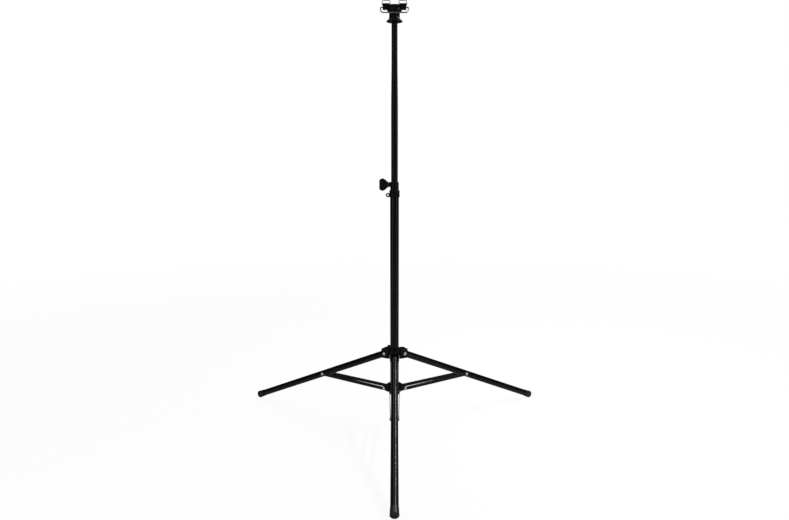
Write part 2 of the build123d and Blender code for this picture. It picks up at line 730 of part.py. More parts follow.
# moulded head: a slit stem over the mast, a round boss and a deck whose tenons carry the blocks
with BuildPart() as head_body:
    with BuildSketch(Plane.XY.offset(stem_bottom_z)):
        Circle(stem_d / 2)
    extrude(amount=boss_foot_z - stem_bottom_z)
    with BuildSketch(Plane.XY.offset(boss_foot_z)):
        Circle(boss_d / 2)
    extrude(amount=boss_height)
    boss_rims = head_body.edges().filter_by(GeomType.CIRCLE).group_by(SortBy.RADIUS)[-1]
    fillet(boss_rims.sort_by(Axis.Z)[0], boss_foot_round)
    with BuildSketch(Plane.XY.offset(boss_top_z)):
        Rectangle(2 * deck_half_length, 2 * deck_half_depth)
    extrude(amount=deck_height)
    with BuildSketch(Plane.YZ):
        with Locations((0, tenon_bottom_z)):
            Rectangle(2 * tenon_half_depth, tenon_height, align=(Align.CENTER, Align.MIN))
    extrude(amount=tenon_end, both=True)
    deck_edges = head_body.faces().sort_by(Axis.Z)[-1].edges().filter_by(Axis.X)
    fillet(deck_edges, block_round)
    for side in (1, -1):
        with BuildSketch(Plane.XZ):
            with Locations((side * (deck_half_length - groove_width / 2), groove_floor_z)):
                Rectangle(groove_width, deck_height, align=(Align.CENTER, Align.MIN))
        extrude(amount=deck_half_depth, both=True, mode=Mode.SUBTRACT)
        with BuildSketch(Plane.XY.offset(boss_top_z)):
            with Locations((side * (deck_half_length + block_length / 2), 0)):
                Circle(cradle_screw_d / 2 + seat_fit)
        extrude(amount=tenon_lift + tenon_height, mode=Mode.SUBTRACT)
    with BuildSketch(Plane.XY.offset(stem_bottom_z)):
        Circle(stem_bore_r)
    extrude(amount=head_cover + moving_gap, mode=Mode.SUBTRACT)
    with BuildSketch(Plane.XY.offset(stem_bottom_z)):
        Rectangle(stem_d, stem_slit_width)
        Rectangle(stem_slit_width, stem_d)
    extrude(amount=stem_slit_length, mode=Mode.SUBTRACT)
finish(head_body, "head_body")

# end blocks of the cradle, pushed over the tenons
for hand, side in (("left", -1), ("right", 1)):
    inner_x = side * deck_half_length
    outer_x = side * block_end
    middle_x = (inner_x + outer_x) / 2
    outward = Plane(origin=(inner_x, 0, 0), x_dir=(0, side, 0), z_dir=(side, 0, 0))
    with BuildPart() as cradle_block:
        with BuildSketch(outward):
            with Locations((0, boss_top_z)):
                Rectangle(2 * block_half_depth, block_height, align=(Align.CENTER, Align.MIN))
        extrude(amount=block_length)
        fillet(cradle_block.edges().filter_by(Axis.X), block_round)
        fillet(cradle_block.faces().sort_by(Axis.X)[0 if side < 0 else -1].edges(), block_end_round)
        with BuildSketch(outward):
            with Locations((0, tenon_bottom_z - seat_fit)):
                Rectangle(
                    2 * (tenon_half_depth + seat_fit),
                    tenon_height + 2 * seat_fit,
                    align=(Align.CENTER, Align.MIN),
                )
        extrude(amount=tenon_reach + seat_fit, mode=Mode.SUBTRACT)
        with BuildSketch(Plane(origin=(outer_x, 0, 0), x_dir=(0, -side, 0), z_dir=(-side, 0, 0))):
            with Locations((0, front_pivot_z)):
                Circle(front_wire_d / 2 + pin_fit)
            with Locations((0, top_pivot_z)):
                Circle(top_wire_d / 2 + pin_fit)
        extrude(amount=bail_bite + moving_gap, mode=Mode.SUBTRACT)
        with BuildSketch(outward):
            with Locations((0, top_pivot_z)):
                Circle(top_wire_d / 2 + pin_fit)
        extrude(amount=bail_bite + moving_gap, mode=Mode.SUBTRACT)
        with BuildSketch(Plane.XY.offset(boss_top_z)):
            with Locations((middle_x, 0)):
                Circle(cradle_screw_head_d / 2 + seat_fit)
        extrude(amount=cradle_screw_head, mode=Mode.SUBTRACT)
        with BuildSketch(Plane.XY.offset(boss_top_z)):
            with Locations((middle_x, 0)):
                Circle(cradle_screw_d / 2 + seat_fit)
        extrude(amount=tenon_lift + seat_fit, mode=Mode.SUBTRACT)
    finish(cradle_block, f"cradle_block_{hand}")

# screws that hold the blocks on the tenons, from below
with BuildPart() as cradle_screws:
    for side in (1, -1):
        with BuildSketch(Plane.XY.offset(boss_top_z)):
            with Locations((side * (deck_half_length + block_length / 2), 0)):
                Circle(cradle_screw_head_d / 2)
        extrude(amount=cradle_screw_head - seat_fit)
        with BuildSketch(Plane.XY.offset(boss_top_z)):
            with Locations((side * (deck_half_length + block_length / 2), 0)):
                Circle(cradle_screw_d / 2)
        extrude(amount=cradle_screw_bite)
finish(cradle_screws, "cradle_screws")

# bell nut: turned to close the slit stem on the mast
bell_top_z = boss_foot_z - moving_gap
bell_bottom_z = bell_top_z - bell_height
bell_inside_z = stem_bottom_z - moving_gap
flare_top = (bell_neck_d / 2, bell_top_z - bell_neck_height)
flare_foot = (bell_rim_d / 2 - bell_rim_set, bell_bottom_z + 2 * bell_rim_round)
flare_run = flare_foot[0] - flare_top[0]
flare_drop = flare_top[1] - flare_foot[1]
flare_slant = hypot(flare_run, flare_drop)
flare_middle = (
    (flare_top[0] + flare_foot[0]) / 2 - bell_flare_bow * flare_drop / flare_slant,
    (flare_top[1] + flare_foot[1]) / 2 - bell_flare_bow * flare_run / flare_slant,
)
with BuildPart() as bell_nut:
    with BuildSketch(Plane.XZ):
        with BuildLine():
            Line((stem_d / 2 + pin_fit, bell_top_z), (bell_neck_d / 2, bell_top_z))
            Line((bell_neck_d / 2, bell_top_z), flare_top)
            ThreePointArc(flare_top, flare_middle, flare_foot)
            ThreePointArc(
                flare_foot,
                (bell_rim_d / 2, bell_bottom_z + bell_rim_round),
                (bell_rim_d / 2 - bell_rim_round, bell_bottom_z),
            )
            Polyline(
                (bell_rim_d / 2 - bell_rim_round, bell_bottom_z),
                (bell_mouth_d / 2, bell_bottom_z),
                (mast_tip_r + 2 * moving_gap, bell_bottom_z + bell_floor),
                (mast_tip_r + 2 * moving_gap, bell_inside_z),
                (stem_d / 2 + pin_fit, bell_inside_z),
                (stem_d / 2 + pin_fit, bell_top_z),
            )
        make_face()
    revolve(axis=Axis.Z)
    with BuildSketch(Plane.XY.offset(bell_top_z - bell_neck_height)):
        with PolarLocations(bell_neck_d / 2 + flute_d / 2 - flute_depth, flute_count, flute_start):
            Circle(flute_d / 2)
    extrude(amount=bell_neck_height - flute_lip, mode=Mode.SUBTRACT)
finish(bell_nut, "bell_nut")

# ---------------------------------------------------------------- wire bails

# long bail: hangs from the outer ends of the blocks and leans in front of the boss
front_bail_reach = hypot(front_bail_drop, front_bail_forward)
front_hang = Vector(0, -front_bail_forward, -front_bail_drop).normalized()
front_plane = Plane(
    origin=(0, 0, front_pivot_z), x_dir=(1, 0, 0), z_dir=Vector(1, 0, 0).cross(front_hang)
)
with BuildPart() as front_bail:
    with BuildLine(front_plane):
        FilletPolyline(
            (block_end - bail_bite, 0),
            (front_bail_half, 0),
            (front_bail_half, front_bail_shoulder),
            (front_bail_straight, front_bail_reach),
            (-front_bail_straight, front_bail_reach),
            (-front_bail_half, front_bail_shoulder),
            (-front_bail_half, 0),
            (bail_bite - block_end, 0),
            radius=front_bail_corner,
        )
    with BuildSketch(Plane(origin=(block_end - bail_bite, 0, front_pivot_z), z_dir=(1, 0, 0))):
        Circle(front_wire_d / 2)
    sweep()
finish(front_bail, "front_bail")

# short bails: a thin loop that stands over each block
for hand, side in (("left", -1), ("right", 1)):
    stand = Plane(origin=(0, 0, top_pivot_z), x_dir=(side, 0, 0), z_dir=(0, -side, 0))
    with BuildPart() as top_bail:
        with BuildLine(stand):
            FilletPolyline(
                (deck_half_length + bail_bite, 0),
                (top_bail_inner, 0),
                (top_bail_inner, top_bail_rise),
                (top_bail_outer, top_bail_rise),
                (top_bail_outer, 0),
                (block_end - bail_bite, 0),
                radius=[top_bail_bend, top_bail_corner, top_bail_corner, top_bail_bend],
            )
        first = (side * (deck_half_length + bail_bite), 0, top_pivot_z)
        with BuildSketch(Plane(origin=first, z_dir=(-side, 0, 0))):
            Circle(top_wire_d / 2)
        sweep()
    finish(top_bail, f"top_bail_{hand}")
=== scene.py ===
import json
from math import cos, pi, radians, sin, tan

import bmesh
import bpy
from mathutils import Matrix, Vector
from mathutils.bvhtree import BVHTree


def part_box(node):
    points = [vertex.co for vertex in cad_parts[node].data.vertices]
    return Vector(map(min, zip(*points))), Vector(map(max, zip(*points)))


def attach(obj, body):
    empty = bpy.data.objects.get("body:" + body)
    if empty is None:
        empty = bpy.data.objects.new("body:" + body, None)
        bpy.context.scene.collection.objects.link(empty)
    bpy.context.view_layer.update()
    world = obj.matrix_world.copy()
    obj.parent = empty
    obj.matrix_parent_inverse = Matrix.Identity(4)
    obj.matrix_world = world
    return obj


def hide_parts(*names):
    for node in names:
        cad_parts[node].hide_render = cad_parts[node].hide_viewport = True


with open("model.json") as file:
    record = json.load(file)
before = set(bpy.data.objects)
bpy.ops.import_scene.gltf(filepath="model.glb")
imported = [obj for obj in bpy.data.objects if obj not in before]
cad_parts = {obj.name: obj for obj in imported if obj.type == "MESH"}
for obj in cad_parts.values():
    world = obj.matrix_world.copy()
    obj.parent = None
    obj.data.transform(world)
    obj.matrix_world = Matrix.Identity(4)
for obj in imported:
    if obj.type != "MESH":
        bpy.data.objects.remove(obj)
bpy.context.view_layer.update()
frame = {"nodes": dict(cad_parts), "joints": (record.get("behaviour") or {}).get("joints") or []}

# ---------------------------------------------------------------- column
# The column is a drawn steel tube, stove-enamelled black. The hubs and the clamp collar are pushed
# over it. Its enamel has a slight orange peel, duller patches and wipe marks along the tube.

node_of = frame["nodes"]


def add_node(tree, kind, inputs=(), **settings):
    """A shader or geometry node, with its settings, and its inputs set or linked by name."""
    made = tree.nodes.new(kind)
    for key, value in settings.items():
        setattr(made, key, value)
    for key, value in dict(inputs).items():
        if isinstance(value, bpy.types.NodeSocket):
            tree.links.new(value, made.inputs[key])
        else:
            made.inputs[key].default_value = value
    return made


def maths(tree, operation, *values, **settings):
    """The output of a math node."""
    numbered = dict(enumerate(values))
    return add_node(tree, "ShaderNodeMath", numbered, operation=operation, **settings).outputs[0]


def node_tree(name, kind, inputs, outputs):
    """An empty node group with named inputs, given as name: (kind, default), and named outputs."""
    tree = bpy.data.node_groups.new(name, kind)
    for label, (socket_kind, value) in inputs.items():
        socket = tree.interface.new_socket(name=label, in_out="INPUT", socket_type=socket_kind)
        if value is not None:
            socket.default_value = value
    for label, socket_kind in outputs.items():
        tree.interface.new_socket(name=label, in_out="OUTPUT", socket_type=socket_kind)
    return tree, tree.nodes.new("NodeGroupInput").outputs, tree.nodes.new("NodeGroupOutput").inputs


# surface grain: the orange peel of a coat or the fine spark texture of a moulding
grain_group, grain_in, grain_out = node_tree(
    "surface_grain",
    "ShaderNodeTree",
    {
        "Vector": ("NodeSocketVector", None),
        "Scale": ("NodeSocketFloat", 600.0),
        "Fineness": ("NodeSocketFloat", 2.0),
    },
    {"Height": "NodeSocketFloat"},
)
grain_noise = add_node(
    grain_group,
    "ShaderNodeTexNoise",
    {"Vector": grain_in["Vector"], "Scale": grain_in["Scale"], "Detail": grain_in["Fineness"]},
)
grain_group.links.new(grain_noise.outputs["Fac"], grain_out["Height"])

# slow drift of a finish from place to place, as handling and age leave it
drift_group, drift_in, drift_out = node_tree(
    "finish_drift",
    "ShaderNodeTree",
    {
        "Vector": ("NodeSocketVector", None),
        "Scale": ("NodeSocketFloat", 12.0),
        "Low": ("NodeSocketFloat", 0.0),
        "High": ("NodeSocketFloat", 1.0),
    },
    {"Value": "NodeSocketFloat"},
)
drift_noise = add_node(
    drift_group,
    "ShaderNodeTexNoise",
    {"Vector": drift_in["Vector"], "Scale": drift_in["Scale"], "Detail": 4.0, "Roughness": 0.6},
)
drift_range = add_node(
    drift_group,
    "ShaderNodeMapRange",
    {
        "Value": drift_noise.outputs["Fac"],
        "From Min": 0.3,
        "From Max": 0.7,
        "To Min": drift_in["Low"],
        "To Max": drift_in["High"],
    },
)
drift_group.links.new(drift_range.outputs["Result"], drift_out["Value"])

# rub marks: fine broken lines that run along the stretched axis of the vector
rub_group, rub_in, rub_out = node_tree(
    "rub_marks",
    "ShaderNodeTree",
    {
        "Vector": ("NodeSocketVector", None),
        "Scale": ("NodeSocketFloat", 900.0),
        "Threshold": ("NodeSocketFloat", 0.62),
    },
    {"Mask": "NodeSocketFloat"},
)
rub_noise = add_node(
    rub_group,
    "ShaderNodeTexNoise",
    {"Vector": rub_in["Vector"], "Scale": rub_in["Scale"], "Detail": 3.0, "Roughness": 0.7},
)
rub_range = add_node(
    rub_group,
    "ShaderNodeMapRange",
    {"Value": rub_noise.outputs["Fac"], "From Min": rub_in["Threshold"], "From Max": 0.8},
    interpolation_type="SMOOTHSTEP",
)
rub_group.links.new(rub_range.outputs["Result"], rub_out["Mask"])


def place_vector(tree, direction=(0, 0, 1), stretch=1.0):
    """Object coordinates turned so that z runs along a direction, and stretched along it."""
    turned = Vector(direction).to_track_quat("Z", "Y").to_euler()
    coordinates = add_node(tree, "ShaderNodeTexCoord")
    mapping = add_node(
        tree,
        "ShaderNodeMapping",
        {"Vector": coordinates.outputs["Object"], "Rotation": turned, "Scale": (1, 1, stretch)},
        vector_type="TEXTURE",
    )
    return mapping.outputs["Vector"]


def placed(tree, group, inputs):
    """The outputs of a shader node group placed in a material with its own values."""
    return add_node(tree, "ShaderNodeGroup", inputs, node_tree=group).outputs


def blank_material(name, specular=0.5, metallic=0.0):
    """A material with a Principled shader whose constants sit on its own sockets."""
    material = bpy.data.materials.new(name)
    material.use_nodes = True
    shader = material.node_tree.nodes["Principled BSDF"]
    shader.inputs["Specular IOR Level"].default_value = specular
    shader.inputs["Metallic"].default_value = metallic
    return material, material.node_tree, shader.inputs


def blend_colours(tree, factor, first, second):
    """The output of a colour mix, both colours given as linear RGB."""
    factor_in, first_in, second_in, colour_out = 0, 6, 7, 2     # the colour mix's own sockets
    colours = {factor_in: factor, first_in: (*first, 1), second_in: (*second, 1)}
    return add_node(tree, "ShaderNodeMix", colours, data_type="RGBA").outputs[colour_out]


def raised(tree, height, depth):
    """The normals of a surface that its height raises by a depth in metres."""
    bump = add_node(tree, "ShaderNodeBump", {"Strength": 1.0, "Distance": depth, "Height": height})
    return bump.outputs["Normal"]


enamel_black = (0.0035, 0.0035, 0.004)
enamel_wiped = (0.009, 0.009, 0.01)
enamel_specular = 0.2
wipe_threshold = 0.66
wipe_roughness = 0.08
wipe_stretch = 60.0         # how many times longer than wide a wipe mark is
peel_depth = 0.0000006


def enamel(name, direction=(0, 0, 1), shine=0.24, dull=0.36):
    """Black stove enamel on steel: orange peel, duller patches and wipe marks along the piece."""
    material, tree, shader = blank_material(name, enamel_specular)
    plain = place_vector(tree)
    along = place_vector(tree, direction, wipe_stretch)
    peel = placed(tree, grain_group, {"Vector": plain, "Scale": 420.0, "Fineness": 2.0})
    haze = placed(tree, drift_group, {"Vector": plain, "Scale": 14.0, "Low": shine, "High": dull})
    wipes = {"Vector": along, "Scale": 1400.0, "Threshold": wipe_threshold}
    marks = placed(tree, rub_group, wipes)
    colour = blend_colours(tree, marks["Mask"], enamel_black, enamel_wiped)
    rougher = maths(tree, "MULTIPLY_ADD", marks["Mask"], wipe_roughness, haze["Value"])
    tree.links.new(colour, shader["Base Color"])
    tree.links.new(rougher, shader["Roughness"])
    tree.links.new(raised(tree, peel["Height"], peel_depth), shader["Normal"])
    return material


def dress(material, *names):
    """Gives its finish to each CAD node whose shape stays as it is."""
    for name in names:
        for slot in node_of[name].material_slots:
            slot.material = material


column_enamel = enamel("column_enamel")
dress(column_enamel, "lower_tube")

# ---------------------------------------------------------------- fixed lower hub and clamp collar
# Glass-filled nylon mouldings, driven onto the column, and a plug pressed into its lower end. A
# steel tool leaves a fine spark texture on them and rounds their corners; handling polishes those.

black_nylon = (0.0034, 0.0032, 0.0044)      # it has a faint violet cast
corner_paling = 2.4         # a polished corner is this much paler
corner_smoothing = -0.12    # and this much less rough


def moulded(name, tint=black_nylon, grain=2400.0, depth=0.000008, specular=0.12):
    """Moulded nylon or rubber: a fine spark texture, hazy patches and polished corners."""
    material, tree, shader = blank_material(name, specular)
    plain = place_vector(tree)
    spark = placed(tree, grain_group, {"Vector": plain, "Scale": grain, "Fineness": 3.0})
    haze = placed(tree, drift_group, {"Vector": plain, "Scale": 60.0, "Low": 0.34, "High": 0.48})
    corner = add_node(tree, "ShaderNodeAttribute", attribute_name="corner")
    patchy = placed(tree, drift_group, {"Vector": plain, "Scale": 260.0, "Low": -0.4, "High": 1.0})
    polish = maths(tree, "MULTIPLY", corner.outputs["Fac"], patchy["Value"], use_clamp=True)
    colour = blend_colours(tree, polish, tint, [corner_paling * value for value in tint])
    smoother = maths(tree, "MULTIPLY_ADD", polish, corner_smoothing, haze["Value"])
    tree.links.new(colour, shader["Base Color"])
    tree.links.new(smoother, shader["Roughness"])
    tree.links.new(raised(tree, spark["Height"], depth), shader["Normal"])
    return material


moulded_nylon = moulded("moulded_nylon")
smooth_under = radians(38)      # flatter edges than this are shaded smooth


def finish_piece(name, mesh, material, body, node):
    """Links a finished mesh as a piece, with its finish, its body and the node it stands for."""
    piece = bpy.data.objects.new(name, mesh)
    bpy.context.scene.collection.objects.link(piece)
    mesh.materials.clear()
    mesh.materials.append(material)
    mesh.polygons.foreach_set("material_index", [0] * len(mesh.polygons))
    mesh.polygons.foreach_set("use_smooth", [True] * len(mesh.polygons))
    mesh.set_sharp_from_angle(angle=smooth_under)
    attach(piece, body)
    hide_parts(node)
    return piece


weld_gap = 0.000004         # corners of the CAD's loose triangles meet within this
flat_under = radians(0.6)       # triangles that meet flatter than this are one face
corner_over = radians(32)       # edges sharper than this are rounded
moulding_rounding = 0.0005


def solid_copy(node):
    """The CAD solid's mesh as a closed bmesh, with its loose triangles merged into flat faces."""
    shape = bmesh.new()
    shape.from_mesh(node_of[node].data)
    for layer in list(shape.loops.layers.float_vector):
        shape.loops.layers.float_vector.remove(layer)
    bmesh.ops.remove_doubles(shape, verts=shape.verts, dist=weld_gap)
    bmesh.ops.dissolve_limit(
        shape,
        angle_limit=flat_under,
        use_dissolve_boundaries=False,
        verts=shape.verts,
        edges=shape.edges,
    )
    return shape


def rounded_moulding(name, node, material, body, rounding):
    """The CAD solid with its sharp corners rounded, and a face attribute that tells where."""
    shape = solid_copy(node)
    surface = BVHTree.FromBMesh(shape)
    corner = shape.faces.layers.float.new("corner")
    sharp = [edge for edge in shape.edges if edge.calc_face_angle(0.0) > corner_over]
    made = bmesh.ops.bevel(
        shape,
        geom=sharp,
        offset=rounding,
        offset_type="OFFSET",
        segments=2,
        profile=0.5,
        affect="EDGES",
        clamp_overlap=False,
    )
    for face in made["faces"]:
        face[corner] = 1.0
    for vert in shape.verts:
        nearest, _, _, distance = surface.find_nearest(vert.co)
        if distance > rounding:
            vert.co = nearest
    mesh = bpy.data.meshes.new(name)
    shape.to_mesh(mesh)
    shape.free()
    return finish_piece(name, mesh, material, body, node)


for name, node in (("fixed_hub", "lower_hub"), ("collar", "clamp_collar")):
    rounded_moulding(name, node, moulded_nylon, "column", moulding_rounding)
dress(moulded_nylon, "column_plug")

# ---------------------------------------------------------------- pivot rivets
# Bright nickel-plated steel rivets: a shank through the joint with a domed head closed on each
# outer side. Three join the legs to the sliding hub, three the struts to the fixed hub, and each
# strut has one short rivet in each of its strips at the leg.

tarnish = 0.55              # how bright a tarnished patch still is
plating_grain = 0.000004


def bare_metal(name, colour, roughness):
    """Plated or bright metal with a fine grain, hazy patches and a little tarnish."""
    material, tree, shader = blank_material(name, metallic=1.0)
    plain = place_vector(tree)
    grain = placed(tree, grain_group, {"Vector": plain, "Scale": 2600.0, "Fineness": 4.0})
    haze = placed(
        tree,
        drift_group,
        {"Vector": plain, "Scale": 180.0, "Low": roughness - 0.06, "High": roughness + 0.1},
    )
    stain = placed(tree, drift_group, {"Vector": plain, "Scale": 340.0, "Low": 0.0, "High": 0.5})
    darker = [tarnish * value for value in colour]
    shade = blend_colours(tree, stain["Value"], colour, darker)
    tree.links.new(shade, shader["Base Color"])
    tree.links.new(haze["Value"], shader["Roughness"])
    tree.links.new(raised(tree, grain["Height"], plating_grain), shader["Normal"])
    return material


rivet_steel = bare_metal("rivet_steel", (0.88, 0.88, 0.87), 0.4)

rivet_group, rivet_in, rivet_out = node_tree(
    "domed_rivets",
    "GeometryNodeTree",
    {
        "Grips": ("NodeSocketGeometry", None),
        "Shank Radius": ("NodeSocketFloat", 0.003),
        "Head Radius": ("NodeSocketFloat", 0.0048),
        "Head Height": ("NodeSocketFloat", 0.0016),
        "Skirt": ("NodeSocketFloat", 0.0003),
        "Both Ends": ("NodeSocketBool", True),
        "Sides": ("NodeSocketInt", 32),
        "Finish": ("NodeSocketMaterial", None),
    },
    {"Geometry": "NodeSocketGeometry"},
)


seam_gap = 0.000001


def turned_section(tree, profile, radius, sides):
    """Sweeps a half section, x outwards and y along the axis, into a closed round solid about z."""
    back = maths(tree, "MULTIPLY", radius, -1.0)
    shift = add_node(tree, "ShaderNodeCombineXYZ", {"X": back})
    centred = add_node(
        tree, "GeometryNodeTransform", {"Geometry": profile, "Translation": shift.outputs[0]}
    )
    circle = add_node(
        tree, "GeometryNodeCurvePrimitiveCircle", {"Resolution": sides, "Radius": radius}
    )
    swept = add_node(
        tree,
        "GeometryNodeCurveToMesh",
        {"Curve": circle.outputs["Curve"], "Profile Curve": centred.outputs[0]},
    )
    upright = add_node(
        tree, "GeometryNodeTransform", {"Geometry": swept.outputs[0], "Scale": (1, 1, -1)}
    )
    closed = add_node(
        tree, "GeometryNodeMergeByDistance", {"Geometry": upright.outputs[0], "Distance": seam_gap}
    )
    return closed.outputs[0]


grip_lines = add_node(rivet_group, "GeometryNodeMeshToCurve", {"Mesh": rivet_in["Grips"]})
shank_circle = add_node(
    rivet_group,
    "GeometryNodeCurvePrimitiveCircle",
    {"Resolution": rivet_in["Sides"], "Radius": rivet_in["Shank Radius"]},
)
shanks = add_node(
    rivet_group,
    "GeometryNodeCurveToMesh",
    {"Curve": grip_lines.outputs[0], "Profile Curve": shank_circle.outputs[0], "Fill Caps": True},
)
head_corners = [
    add_node(rivet_group, "ShaderNodeCombineXYZ", corner).outputs[0]
    for corner in (
        {},
        {"X": rivet_in["Head Radius"]},
        {"X": rivet_in["Head Radius"], "Y": rivet_in["Skirt"]},
        {"X": rivet_in["Shank Radius"], "Y": rivet_in["Head Height"]},
        {"Y": rivet_in["Head Height"]},
    )
]
head_parts = add_node(rivet_group, "GeometryNodeJoinGeometry")
dome = add_node(
    rivet_group,
    "GeometryNodeCurveQuadraticBezier",
    {"Resolution": 8, "Start": head_corners[2], "Middle": head_corners[3], "End": head_corners[4]},
)
rivet_group.links.new(dome.outputs[0], head_parts.inputs[0])
for start, end in ((0, 1), (1, 2)):
    side = add_node(
        rivet_group,
        "GeometryNodeCurvePrimitiveLine",
        {"Start": head_corners[start], "End": head_corners[end]},
    )
    rivet_group.links.new(side.outputs[0], head_parts.inputs[0])
rivet_head = turned_section(
    rivet_group, head_parts.outputs[0], rivet_in["Head Radius"], rivet_in["Sides"]
)
tangent = add_node(rivet_group, "GeometryNodeInputTangent")
all_heads = add_node(rivet_group, "GeometryNodeJoinGeometry")
rivet_group.links.new(shanks.outputs[0], all_heads.inputs[0])
for first, last, way in ((0, 1, 1.0), (1, 0, -1.0)):
    tips = add_node(
        rivet_group, "GeometryNodeCurveEndpointSelection", {"Start Size": first, "End Size": last}
    )
    chosen = tips.outputs[0]
    if way < 0:
        chosen = add_node(
            rivet_group,
            "FunctionNodeBooleanMath",
            {0: rivet_in["Both Ends"], 1: tips.outputs[0]},
            operation="AND",
        ).outputs[0]
    outward = add_node(
        rivet_group,
        "ShaderNodeVectorMath",
        {0: tangent.outputs[0], "Scale": way},
        operation="SCALE",
    )
    turn = add_node(
        rivet_group,
        "FunctionNodeAlignRotationToVector",
        {"Vector": outward.outputs[0]},
        axis="Z",
    )
    heads = add_node(
        rivet_group,
        "GeometryNodeInstanceOnPoints",
        {
            "Points": grip_lines.outputs[0],
            "Selection": chosen,
            "Instance": rivet_head,
            "Rotation": turn.outputs[0],
        },
    )
    rivet_group.links.new(heads.outputs[0], all_heads.inputs[0])
rivets_real = add_node(
    rivet_group, "GeometryNodeRealizeInstances", {"Geometry": all_heads.outputs[0]}
)
rivets_done = add_node(
    rivet_group,
    "GeometryNodeSetMaterial",
    {"Geometry": rivets_real.outputs[0], "Material": rivet_in["Finish"]},
)
rivet_group.links.new(rivets_done.outputs[0], rivet_out["Geometry"])


def mesh_from_nodes(name, points, edges, tree, values):
    """The plain mesh that a geometry node tree makes of an edge mesh, its faces turned outwards."""
    host_mesh = bpy.data.meshes.new(name)
    host_mesh.from_pydata(points, edges, [])
    host = bpy.data.objects.new(name, host_mesh)
    bpy.context.scene.collection.objects.link(host)
    modifier = host.modifiers.new(name, "NODES")
    modifier.node_group = tree
    identifier = {
        item.name: item.identifier
        for item in tree.interface.items_tree
        if item.in_out == "INPUT"
    }
    for label, value in values.items():
        modifier[identifier[label]] = value
    depsgraph = bpy.context.evaluated_depsgraph_get()
    mesh = bpy.data.meshes.new_from_object(host.evaluated_get(depsgraph), depsgraph=depsgraph)
    host.modifiers.remove(modifier)
    bpy.data.objects.remove(host)
    bpy.data.meshes.remove(host_mesh)
    mesh.name = name
    shape = bmesh.new()
    shape.from_mesh(mesh)
    bmesh.ops.recalc_face_normals(shape, faces=shape.faces)
    shape.to_mesh(mesh)
    shape.free()
    return mesh


def rivets(name, grips, node, body, both_ends=True):
    """Rivets from pairs of head seats, which stand for one CAD node."""
    points = [tuple(seat) for grip in grips for seat in grip]
    edges = [(2 * index, 2 * index + 1) for index in range(len(grips))]
    values = {"Both Ends": both_ends, "Finish": rivet_steel}
    mesh = mesh_from_nodes(name, points, edges, rivet_group, values)
    return finish_piece(name, mesh, rivet_steel, body, node)


joint_of = {joint["name"]: joint for joint in frame["joints"]}
leg_names = ("front", "right", "left")
leg_pivot = {leg: Vector(joint_of[f"leg_{leg}_hinge"]["pos_m"]) for leg in leg_names}
strut_pivot = {leg: Vector(joint_of[f"strut_{leg}_hinge"]["pos_m"]) for leg in leg_names}
pin_way = {leg: Vector(joint_of[f"leg_{leg}_hinge"]["axis"]).normalized() for leg in leg_names}
strut_seat = {leg: sum(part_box(f"strut_pin_{leg}"), Vector()) / 2 for leg in leg_names}

hub_grip = 0.0132           # half the grip between the cheeks of the sliding hub
lug_grip = 0.0148           # half the grip over a lug of the fixed hub and its two strips
strip_grip = 0.00075        # half the thickness of a strip
strip_at_lug = 0.01405      # from the middle of a strut to the middle of its strip, at the lug
strip_at_leg = 0.01075      # and at the leg


def through_pivots(centres, half_grip):
    """The head seats of a rivet through each of the three pivots."""
    return [
        (centres[leg] - pin_way[leg] * half_grip, centres[leg] + pin_way[leg] * half_grip)
        for leg in leg_names
    ]


rivets("leg_rivets", through_pivots(leg_pivot, hub_grip), "leg_pivot_rivets", "leg_hub")
rivets("lug_rivets", through_pivots(strut_pivot, lug_grip), "strut_pivot_rivets", "column")
for leg in leg_names:
    grips = []
    for side in (1, -1):
        pin = pin_way[leg] * side
        leg_end = strut_seat[leg] + pin * strip_at_leg
        lug_end = strut_pivot[leg] + pin * strip_at_lug
        strip_line = (leg_end - lug_end).normalized()
        outward = (pin - strip_line * pin.dot(strip_line)).normalized()
        grips.append((leg_end - outward * strip_grip, leg_end + outward * strip_grip))
    rivets(f"strip_rivets_{leg}", grips, f"strut_rivets_{leg}", f"strut_{leg}", both_ends=False)

# ---------------------------------------------------------------- mast
# The thinner telescopic tube is drawn down to a narrower tip by a long swage. A rolled bead keeps
# its nylon bush in place, and a plug closes its lower end. It is enamelled like the column.


def rounded_line(corners, closed=False, steps=5):
    """Points along a flat line, given as corners (x, y, radius), with each corner made round."""
    line = []
    for index, (x, y, radius) in enumerate(corners):
        here = Vector((x, y))
        at_end = not closed and index in (0, len(corners) - 1)
        if at_end or not radius:
            line.append(here)
            continue
        before = (Vector(corners[index - 1][:2]) - here).normalized()
        after = (Vector(corners[(index + 1) % len(corners)][:2]) - here).normalized()
        half = before.angle(after) / 2
        centre = here + (before + after).normalized() * radius / sin(half)
        start = here + before * radius / tan(half) - centre
        end = here + after * radius / tan(half) - centre
        for step in range(steps + 1):
            line.append(centre + start.lerp(end, step / steps).normalized() * radius)
    return line


turned_group, turned_in, turned_out = node_tree(
    "turned_piece",
    "GeometryNodeTree",
    {
        "Half Section": ("NodeSocketGeometry", None),
        "Rail": ("NodeSocketFloat", 0.01),
        "Sides": ("NodeSocketInt", 96),
        "Flutes": ("NodeSocketFloat", 12.0),
        "Flute Depth": ("NodeSocketFloat", 0.0),
        "Flute Half Width": ("NodeSocketFloat", 0.0012),
        "Flute Bottom": ("NodeSocketFloat", 0.0),
        "Flute Top": ("NodeSocketFloat", 0.01),
        "Flute Wall": ("NodeSocketFloat", 0.0135),
        "Seat": ("NodeSocketVector", (0, 0, 0)),
        "Aim": ("NodeSocketVector", (0, 0, 1)),
        "Finish": ("NodeSocketMaterial", None),
    },
    {"Geometry": "NodeSocketGeometry"},
)


